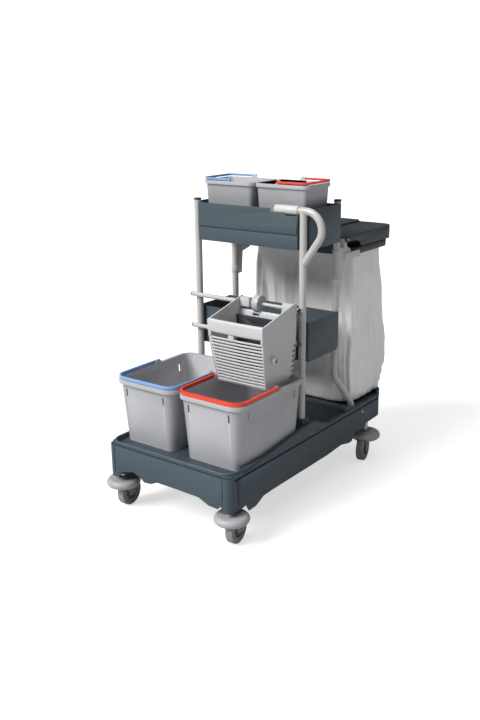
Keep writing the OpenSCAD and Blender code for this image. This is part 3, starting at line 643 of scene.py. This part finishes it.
press_shell = make_press_shell()
press_shell.materials.append(mats["press_grey"])
piece("press_shell", press_shell, "press_body")
pad = bmesh.new()
add_box(pad, 235, 242.5, -129.5, -125, 610, 724)
piece("press_pad", rounded(to_mesh(pad, "pad"), 1.0 * MM), body="press", slot="black_plastic")
peg = bmesh.new()
for side in (-1, 1):
    # (out from the middle of the press, radius) round the wall of the hollow peg
    loop = [(107, 7.5), (107, 11), (123.5, 11), (125, 9.5), (125, 8.5), (123.5, 7.5)]
    add_turned(peg, [(side * d, r) for d, r in loop], (PRESS_X, PEG_Y, PEG_Z))
piece("press_pegs", to_mesh(peg, "pegs"), "press_knobs")
piece("plate", narrow(rounded(clean_copy("press_plate"), 1.0 * MM)), "press_plate")

# ---------------------------------------------------------------- waste bag


def smooth(t):
    t = min(1.0, max(0.0, t))
    return t * t * (3 - 2 * t)


def along(stops, x):
    """Smooth interpolation through (position, value) stops in rising order."""
    if x <= stops[0][0]:
        return stops[0][1]
    for (x0, v0), (x1, v1) in zip(stops, stops[1:]):
        if x <= x1:
            return v0 + (v1 - v0) * smooth((x - x0) / (x1 - x0))
    return stops[-1][1]


def outline_point(u, hx, y0, y1, r0, r1):
    """Point and outward normal on a rectangle with corner radius r0 at the front and r1 at
    the rear, u from 0 to 1 anticlockwise from the front of the right side."""
    side, quarter = y1 - y0 - r0 - r1, math.pi / 2
    runs = ((side, 0), (quarter * r1, r1), (2 * (hx - r1), 0), (quarter * r1, r1),
            (side, 0), (quarter * r0, r0), (2 * (hx - r0), 0), (quarter * r0, r0))
    s = u % 1.0 * sum(length for length, _ in runs)
    x, y, turn = hx, y0 + r0, 0.0
    for length, r in runs:
        part = min(s, length)
        if r:
            cx, cy = x - r * math.cos(turn), y - r * math.sin(turn)
            turn += part / r
            x, y = cx + r * math.cos(turn), cy + r * math.sin(turn)
        else:
            x, y = x - part * math.sin(turn), y + part * math.cos(turn)
        s -= part
        if s <= 0:
            break
    return x, y, math.cos(turn), math.sin(turn)


def make_bag():
    ring_lo, ring_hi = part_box("bag_ring")
    top, low = ring_hi.z - 0.004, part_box("waste_bag")[0].z
    around, down, foot = 420, 150, 0.020
    # (height, size): half width, front, rear, and the corner radii at front and rear
    half = [(low, 0.236), (0.30, 0.242), (0.45, 0.234), (0.65, 0.221),
            (0.80, 0.2135), (top, 0.2125)]
    front = [(low, 0.247), (0.30, 0.245), (0.45, 0.247), (0.70, 0.254),
             (0.82, 0.2595), (top, 0.2595)]
    rear = [(low, 0.470), (0.268, 0.4775), (0.30, 0.508), (0.37, 0.535), (0.62, 0.534),
            (0.80, 0.5225), (top, 0.5215)]
    fore = [(low, 0.078), (0.45, 0.066), (0.80, 0.043), (top, 0.042)]
    aft = [(low, 0.036), (0.45, 0.040), (top, 0.042)]
    # each pleat: place round the bag, width, height, start and end down the bag, slant
    pleats = []
    for _ in range(90):
        if 0.30 < random.random() < 0.42 and random.random() < 0.5:
            continue
        pleats.append((random.random(), random.uniform(0.0030, 0.009),
                       random.uniform(0.0030, 0.0090) * random.choice((1, 1, -1)),
                       random.uniform(-0.25, 0.55), random.uniform(0.55, 1.4),
                       random.uniform(-0.035, 0.035)))
    for k in range(6):
        for start, lean in ((0.01, 0.055), (0.50, -0.055)):
            pleats.append((start + 0.030 * k, 0.0050, 0.0060, -0.3, 1.4, lean))
    verts, faces = [], []
    for j in range(down + 1):
        v = j / down
        z = top + (low - top) * v
        inset = 0.0
        if z < low + foot:
            t = 1 - (z - low) / foot
            inset = foot * (1 - math.sqrt(max(0.0, 1 - t * t))) * 0.9
        hx, y0, y1 = along(half, z) - inset, along(front, z) + inset, along(rear, z) - inset
        for i in range(around):
            u = i / around
            x, y, nx, ny = outline_point(u, hx, y0, y1, along(fore, z), along(aft, z))
            push = 0.0
            for c, w, a, v0, v1, slant in pleats:
                d = (u - c - slant * (v - 0.5) + 0.5) % 1.0 - 0.5
                if abs(d) < 3 * w:
                    push += (a * math.exp(-(d / w) ** 2) * smooth((v - v0) / 0.22)
                             * smooth((v1 - v) / 0.22))
            swell = noise.noise(Vector((nx * 2.1, ny * 2.1, z * 5.5 + 3))) * 0.007
            ripple = noise.noise(Vector((u * 90, z * 6, 2))) * 0.0016
            cross = noise.noise(Vector((u * 30, z * 42, 9))) * 0.0012
            held = smooth((top - 0.028 - z) / 0.07)
            keep = smooth((z - low) / 0.02)
            move = (push + swell + ripple + cross) * held * (0.35 + 0.65 * keep)
            move = min(move, 0.013)
            verts.append((x + nx * move, y + ny * move, z))
    for j in range(down):
        for i in range(around):
            k = (i + 1) % around
            a, b = j * around, (j + 1) * around
            faces.append((a + i, b + i, b + k, a + k))
    base = down * around
    cy = sum(verts[base + i][1] for i in range(around)) / around
    last = base
    for ring in (0.72, 0.42, 0.16):
        start = len(verts)
        for i in range(around):
            x, y, z = verts[base + i]
            sag = noise.noise(Vector((x * 20, y * 20, ring * 7))) * 0.0015
            verts.append((x * ring, cy + (y - cy) * ring, low + 0.0016 + sag))
        for i in range(around):
            k = (i + 1) % around
            faces.append((last + i, start + i, start + k, last + k))
        last = start
    centre = len(verts)
    verts.append((0, cy, low + 0.0015))
    for i in range(around):
        faces.append((last + i, centre, last + (i + 1) % around))
    mesh = bpy.data.meshes.new("bag_film")
    mesh.from_pydata(verts, [], faces)
    mesh.update()
    bag = piece("bag_film", mesh, "waste_bag", angle=180)


make_bag()
